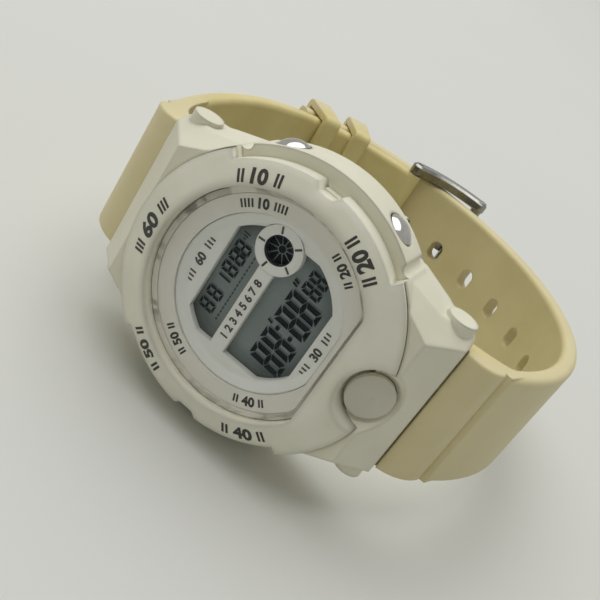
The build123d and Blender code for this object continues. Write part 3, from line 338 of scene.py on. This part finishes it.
def flat(corners, height):
    """One flat printed shape with these corners, facing up."""
    turns = sum(a[0] * b[1] - b[0] * a[1] for a, b in zip(corners, corners[1:] + corners[:1]))
    if turns < 0:
        corners = corners[::-1]
    bpy.ops.object.select_all(action="DESELECT")
    bpy.ops.mesh.primitive_circle_add(vertices=len(corners), radius=1, fill_type="NGON", location=(0, 0, 0))
    made = bpy.context.object
    for vertex, corner in zip(made.data.vertices, corners):
        vertex.co = (corner[0], corner[1], height)
    return made


def bar(start, end, width, pointed, height):
    """One flat segment between two points, with pointed or blunt ends."""
    start, end = Vector(start), Vector(end)
    along = (end - start).normalized()
    across = Vector((-along.y, along.x)) * width / 2
    nose = along * width * pointed
    return flat([start, start + nose + across, end - nose + across, end, end - nose - across,
                 start + nose - across], height)


def digit(left, low, wide, tall, thick, lean_by, height):
    """An eight of seven mitred segments, slightly slanted. Its upright segments are the thicker ones."""
    gap = thick * 0.1
    cut = gap + thick * 0.2
    level = thick * 0.8
    half = tall / 2
    outlines = [[(gap, half), (thick, half - level / 2), (wide - thick, half - level / 2), (wide - gap, half),
                 (wide - thick, half + level / 2), (thick, half + level / 2)]]
    for end, inward in ((0, 1), (tall, -1)):
        outlines.append([(cut, end), (wide - cut, end), (wide - thick - gap, end + inward * level),
                         (thick + gap, end + inward * level)])
        for side, across in ((0, 1), (wide, -1)):
            inner = side + across * thick
            outlines.append([(side, end + inward * cut), (inner, end + inward * (level + gap)),
                             (inner, half - inward * (level / 2 + gap)), (side, half - inward * gap)])
    return [flat([(left + x + y * lean_by, low + y) for x, y in outline], height) for outline in outlines]


def readout(height, shift):
    """All the display's segments at one height, moved to the right by a shift."""

    def eights(lefts, low, wide, tall, thick, lean_by):
        """A row of like digits."""
        return [segment for left in lefts
                for segment in digit(left + shift, low, wide, tall, thick, lean_by, height)]

    def stroke(start, end, width, pointed):
        """One segment that isn't part of a digit."""
        return bar((start[0] + shift, start[1]), (end[0] + shift, end[1]), width, pointed, height)

    # Lower row: four large digits and two small ones, with a colon of two square dots.
    made = eights((-6.95, -4.3, -0.8, 1.8), low=-7.35, wide=2.2, tall=5.1, thick=0.76, lean_by=0.05)
    made += eights((4.65, 6.4), low=-5.95, wide=1.42, tall=2.85, thick=0.48, lean_by=0.05)
    for middle, low in ((-1.35, -3.55), (-1.45, -5.65)):
        made.append(stroke((middle - 0.33, low), (middle + 0.33, low), width=0.6, pointed=0.2))

    # Upper row: five digits and a one, over a dotted line.
    made += eights((-6.0, -4.0, 0.0, 1.85, 3.35), low=4.6, wide=1.45, tall=2.4, thick=0.42, lean_by=0.04)
    made.append(stroke((-0.7, 4.75), (-0.6, 6.75), width=0.3, pointed=0.5))
    for step in range(17):
        left = -6.1 + step * 0.62
        made.append(stroke((left, 3.8), (left + 0.28, 3.8), width=0.28, pointed=0.3))

    # Small signs: three slanted strokes, and a bell with the three waves of its sound.
    for left in (-1.3, 4.75, 5.25):
        made.append(stroke((left, -2.7), (left + 0.2, -1.85), width=0.3, pointed=0.3))
    made.append(stroke((5.5, 4.6), (6.15, 4.75), width=0.5, pointed=0.15))
    for away in (0.1, 0.5, 0.9):
        made.append(stroke((5.2 + away, 6.1 - away / 3), (5.25 + away, 6.5 + away / 3), width=0.17,
                           pointed=0.3))
    return made


# Liquid crystal: near black where it is driven, and its shadow a little darker than the film.
shadow_height, segment_height = -1.842, -1.836
segment_shadow = crystal_ink("liquid_crystal_shadow", "59625f", "606a67")
segment_ink = crystal_ink("liquid_crystal_dark", "0b1216", "141e23")
shadow = together(readout(shadow_height, shift=0.28))
settle(shadow, "display_shadow", "watch", segment_shadow)
digits = together(readout(segment_height, shift=0))
settle(digits, "display_digits", "watch", segment_ink)

# The small wheel of the display, seen through the small dial ring: ten dark wedges round a dark hub.
# It is in the same glass as the digits, and in the same liquid crystal.
wheel_middle = (7.4, 1.5)
wheel_height = -1.838


def on_wheel(radius, degrees):
    """A point at that radius and angle from the wheel's middle."""
    angle = math.radians(degrees)
    return (wheel_middle[0] + radius * math.cos(angle), wheel_middle[1] + radius * math.sin(angle))


# A wedge is drawn by radii and by angles from its own spoke.
wedge = ((0.62, 11), (1.2, 15), (1.9, 16.2), (1.93, 0), (1.9, -16.2), (1.2, -15), (0.62, -11))
wheel = [flat([on_wheel(radius, spoke + turn) for radius, turn in wedge], wheel_height)
         for spoke in range(12, 360, 36)]
hub = [on_wheel(0.5, turn) for turn in range(0, 360, 15)]
wheel.append(flat(hub, wheel_height))
settle(together(wheel), "display_wheel", "watch", segment_ink)

# Dial panel, dial ring and small dial ring: white plastic mouldings between the display and the glass.
# They are moulded with a fine matt face. The bore of the small ring is painted dark like its print, as
# painted shade.
# Painted shade and grime darken the corners of the dial ring and the panel.
dress("dial_ring", resin("matt_white_dial_plastic", "dddbcf", "e2e0d5", grain=0.15, roughness=0.5,
                         edge=0.15, depth=0.03, shade_and_grime="a39d8b"))
dress("dial_panel", resin("matt_white_panel_plastic", "dedfd7", "e3e4dd", grain=0.15, roughness=0.5,
                          edge=0.3, depth=0.03, shade_and_grime="a39d8b"))
ring_plastic = resin("white_ring_plastic", "dedfd7", "e3e4dd", grain=0.15, roughness=0.5, edge=0.12,
                     depth=0.03)
tree = ring_plastic.node_tree
# Painted shade: the small ring is dark within about 2 mm of the wheel's axis, all over its bore.
reach = from_axis(tree, tree.nodes["Texture Coordinate"].outputs["Object"], (*wheel_middle, -0.8))
bore_shade_mask = add(tree, "ShaderNodeMapRange", {"From Min": 1.96 * millimetre, "From Max": 1.99 * millimetre},
           {"Value": reach})
bore_shade = add(tree, "ShaderNodeMix", {"data_type": "RGBA"}, {"Factor": bore_shade_mask.outputs["Result"]})
bore_shade.inputs[6].default_value = linear("23292c")
tree.links.new(tree.nodes["Color Ramp"].outputs["Color"], bore_shade.inputs[7])
tree.links.new(bore_shade.outputs[2], tree.nodes["Principled BSDF"].inputs["Base Color"])
dress("small_dial_ring", ring_plastic)


def word(text, size, spot, turn):
    """One printed number as a flat mesh, centred on a spot."""
    bpy.ops.object.select_all(action="DESELECT")
    bpy.ops.object.text_add(location=(0, 0, 0))
    made = bpy.context.object
    made.data.body = text
    made.data.size = size
    made.data.align_x = "CENTER"
    made.data.align_y = "CENTER"
    made.data.resolution_u = 3
    made.data.offset = 0.045 * size
    bpy.ops.object.convert(target="MESH")
    made = bpy.context.object
    middle = sum((Vector(corner) for corner in made.bound_box), Vector()) / 8
    made.data.transform(Matrix.Translation(-middle))
    made.matrix_world = Matrix.Translation(spot) @ turn
    return made


blunt = 0.05


def tick(angle, reach, length, width, height, tilt=0.0):
    """One printed stroke that points to the middle of the dial."""
    made = bar((-length / 2, 0), (length / 2, 0), width, blunt, height=0)
    made.matrix_world = (Matrix.Rotation(math.radians(angle), 4, "Z") @ Matrix.Translation((reach, 0, height))
                         @ Matrix.Rotation(tilt, 4, "Y"))
    return made


# Pad-printed ink: warm black, paler in fine specks where the pad has left less of it.
ink = clouded("pad_printed_ink", cloud=0.111, detail=2.0, stops=((0.2, "1f1e1b"), (0.8, "393731")),
              surface={"Roughness": 0.45})

# The prints lie a hair over the faces of the dial ring, the panel and the small ring.
ring_print, panel_print, small_ring_print = 0.01, -0.94, -0.79
ring_reach = 12.75
stroke_length, stroke_width = 1.1, 0.27
prints = []
for angle, text, upward, sides in ((28, "10", -90, (-13.5, -11.3, -9.1, -6.9, 6.9, 9.1, 11.3, 13.5)),
                                   (-31, "20", 90, (-9, -7, 7, 9)),
                                   (209, "40", 90, (-9, -7, 7, 9)),
                                   (150, "50", -90, (-9, -7, 7, 9))):
    turn = math.radians(angle)
    spot = (ring_reach * math.cos(turn), ring_reach * math.sin(turn), ring_print)
    upright = Matrix.Rotation(turn, 4, "Z") @ Matrix.Rotation(math.radians(upward), 4, "Z")
    prints.append(word(text, size=1.75, spot=spot, turn=upright))
    for side in sides:
        prints.append(tick(angle + side, ring_reach, stroke_length, stroke_width, ring_print))
unturned = Matrix.Identity(4)
for text, high in (("60", 9.55), ("30", -9.6)):
    prints.append(word(text, size=1.7, spot=(-0.3, high, panel_print), turn=unturned))
    for side in (-3.5, -2.9, -2.3, 1.7, 2.3, 2.9):
        prints.append(bar((side, high - stroke_length / 2), (side, high + stroke_length / 2), stroke_width,
                          blunt, panel_print))
for step in range(8):
    prints.append(word(str(step + 1), size=1.5, spot=(-6.6 + step * 1.25, 1.5, panel_print), turn=unturned))
for angle in (22, 94, 166, 238, 310):
    prints.append(bar(on_wheel(2.12, angle), on_wheel(3.1, angle), 0.3, blunt, small_ring_print))
settle(together(prints), "dial_numbers", "watch", ink)

# Case: one moulding of white resin with the lugs, the guards and the wells for the pushers.
# A polished mould gives it a satin face. Painted shade, skin oil and dust darken its corners a little.
dress("case", resin("satin_white_resin", "dcd9c3", "e2dfca", grain=0.25, roughness=0.42, edge=0.8,
                    shade_and_grime="b3a98c"))

# Pushers: turned steel with a domed, polished and plated cap, a rubber seal, a clip and a spring inside.
# Worn plating stays bright, with fine wipe marks and a slightly dull grey tone.
chrome = metal("polished_plated_steel", "a9a8a4", "bdbcb8", roughness=(0.06, 0.14), grain=1.1, depth=0.005,
               edge=0.12)
wire = metal("drawn_spring_wire", "8f8e8b", "b5b4b0", roughness=(0.25, 0.4), grain=0.15, stretch=(1, 0.2, 1))
rubber = resin("black_seal_rubber", "131312", "1f1e1d", grain=0.1, roughness=0.7, edge=0.08, depth=0.1)
for hour in ("2", "4", "8", "10"):
    dress("pusher_" + hour, chrome)
    dress("pusher_ring_" + hour, rubber)
    dress("pusher_clip_" + hour, wire)
    dress("pusher_spring_" + hour, wire)

# Front button: a round cap of white plastic at 6 o'clock, with its own seal, clip and spring.
# It is a shade darker than the case and slightly glossier, because use has polished its top.
# Painted shade and grime darken its corners a little.
dress("light_button", resin("white_button_plastic", "c8c5b3", "cecbba", grain=0.25, roughness=0.34,
                            edge=0.3, shade_and_grime="b3a98c"))
dress("light_button_ring", rubber)
dress("light_button_clip", wire)
dress("light_button_spring", wire)

# Bezel: a second white resin moulding, pressed over the case, with a raised crest round the glass.
# Its numbers and ticks are printed in dark ink, laid a few hundredths of a millimetre over its slope.
# Painted shade and grime darken its corners a little.
dress("bezel", resin("white_bezel_resin", "e0decb", "e7e5d3", grain=0.25, roughness=0.38, edge=1.8,
                     shade_and_grime="b3a98c"))
crest_reach, crest_height = 15.5, 1.94
slope = math.radians(22.6)
short_row, long_row = (-9.8, -7.8, 7.8, 9.8), (-13, -11, -9, 9, 11, 13)
numbers = []
for angle, text, size, reach, upward, sides in ((90, "60", 3.1, 16.75, -90, long_row),
                                                (28.5, "10", 2.6, 16.2, -90, short_row),
                                                (-29.8, "20", 2.6, 16.1, 90, short_row),
                                                (209.7, "40", 2.6, 16.6, 90, short_row),
                                                (149, "50", 2.6, 16.65, -90, short_row)):
    turn = math.radians(angle)
    height = crest_height - (reach - crest_reach) * math.tan(slope)
    spot = (reach * math.cos(turn), reach * math.sin(turn), height)
    upright = (Matrix.Rotation(turn, 4, "Z") @ Matrix.Rotation(slope, 4, "Y")
               @ Matrix.Rotation(math.radians(upward), 4, "Z"))
    numbers.append(word(text, size, spot, upright))
    for side in sides:
        numbers.append(tick(angle + side, reach, length=1.7, width=0.34, height=height, tilt=slope))
numbers = settle(together(numbers), "bezel_numbers", "watch", ink)
bpy.ops.object.mode_set(mode="EDIT")
bpy.ops.mesh.select_all(action="SELECT")
bpy.ops.mesh.quads_convert_to_tris()
bpy.ops.mesh.subdivide(number_cuts=3)
bpy.ops.object.mode_set(mode="OBJECT")
wrap = numbers.modifiers.new("on_the_bezel", "SHRINKWRAP")
wrap.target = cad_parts["bezel"]
wrap.wrap_method = "NEAREST_SURFACEPOINT"
wrap.wrap_mode = "ABOVE_SURFACE"
wrap.offset = 0.03 * millimetre
bpy.ops.object.modifier_apply(modifier="on_the_bezel")

# Crystal and its gasket: flat mineral glass, ground and polished, pressed into a ring of white nylon.
# The glass is clear, with faint wipe marks, and mirrors a little more where it is seen at a slant.
crystal_glass, tree = fresh("polished_mineral_glass")
place = add(tree, "ShaderNodeTexCoord", {})
wipe = add(tree, "ShaderNodeTexNoise", {"Scale": 1 / (8.33 * millimetre)},
           {"Vector": place.outputs["Object"]})
smear = add(tree, "ShaderNodeMapRange", {"To Min": 0.0, "To Max": 0.01}, {"Value": wipe.outputs["Fac"]})
slant = add(tree, "ShaderNodeFresnel", {"IOR": 1.45})
clear = add(tree, "ShaderNodeMapRange", {"From Min": 0.03, "To Min": 0.03, "To Max": 0.1},
            {"Value": slant.outputs["Fac"]})
glass = add(tree, "ShaderNodeBsdfPrincipled",
            {"Base Color": linear("fbfcfb"), "IOR": 1.45, "Transmission Weight": 1.0},
            {"Roughness": smear.outputs["Result"], "Alpha": clear.outputs["Result"]})
add(tree, "ShaderNodeOutputMaterial", {}, {"Surface": glass.outputs["BSDF"]})
dress("crystal", crystal_glass)
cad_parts["crystal"].visible_shadow = False
dress("crystal_gasket", resin("white_nylon", "dcd9cb", "e2dfd2", grain=0.1, roughness=0.45, edge=0.08))

# Case back, its seal and screws, and the buzzer: a pressed steel plate, brushed along one way.
# The buzzer is a thin rolled brass disc with a coil spring that carries its current.
dress("case_back", metal("brushed_stainless_steel", "a09f99", "b4b3ae", roughness=(0.26, 0.4), grain=0.35,
                         stretch=(1, 1, 0.02), depth=0.02, edge=0.15))
dress("case_back_screws", metal("turned_screw_steel", "9a9996", "bdbcb8", roughness=(0.18, 0.34), grain=0.2,
                                edge=0.06))
dress("case_back_gasket", rubber)
dress("buzzer_disc", metal("rolled_brass", "a98a45", "c2a35a", roughness=(0.25, 0.42), grain=0.25,
                           stretch=(0.1, 1, 1)))
dress("buzzer_spring", wire)

# Strap and keepers: cream polyurethane resin, moulded with a fine grain.
# Skin has yellowed it most on the side that the wrist touches, light has bleached its outside, and painted
# shade and dirt darken its corners.
loop_middle = (0, -1.6, -31)
strap_resin = resin("cream_strap_resin", "cebf7f", "dacc90", grain=0.3, roughness=0.46, edge=0.5, depth=0.14,
                    glow=0.12, cloud=9.0, shade_and_grime="a0935f")
tree = strap_resin.node_tree
reach = from_axis(tree, tree.nodes["Texture Coordinate"].outputs["Object"], loop_middle, along=(1, 0, 0))
outward = add(tree, "ShaderNodeMapRange",
              {"From Min": 31 * millimetre, "From Max": 33.1 * millimetre, "To Max": 0.6}, {"Value": reach})
bleached = add(tree, "ShaderNodeMix", {"data_type": "RGBA"}, {"Factor": outward.outputs["Result"]})
base = tree.nodes["Principled BSDF"].inputs["Base Color"]
tree.links.new(base.links[0].from_socket, bleached.inputs[6])
bleached.inputs[7].default_value = linear("d9cfab")
tree.links.new(bleached.outputs[2], base)
for name in ("strap_buckle_half", "strap_hole_half", "keeper_fixed", "keeper_free"):
    dress(name, strap_resin)

# Buckle and the bars that carry the strap: a polished stainless frame and tongue on plain turned bars.
# The frame is dulled by wear, darker than new steel.
buckle_steel = metal("worn_polished_steel", "83827e", "9a9994", roughness=(0.12, 0.24), grain=1.6,
                     depth=0.005, edge=0.25)
for name in ("buckle_frame", "buckle_tongue", "buckle_bar", "lug_bar_12", "lug_bar_6"):
    dress(name, buckle_steel)
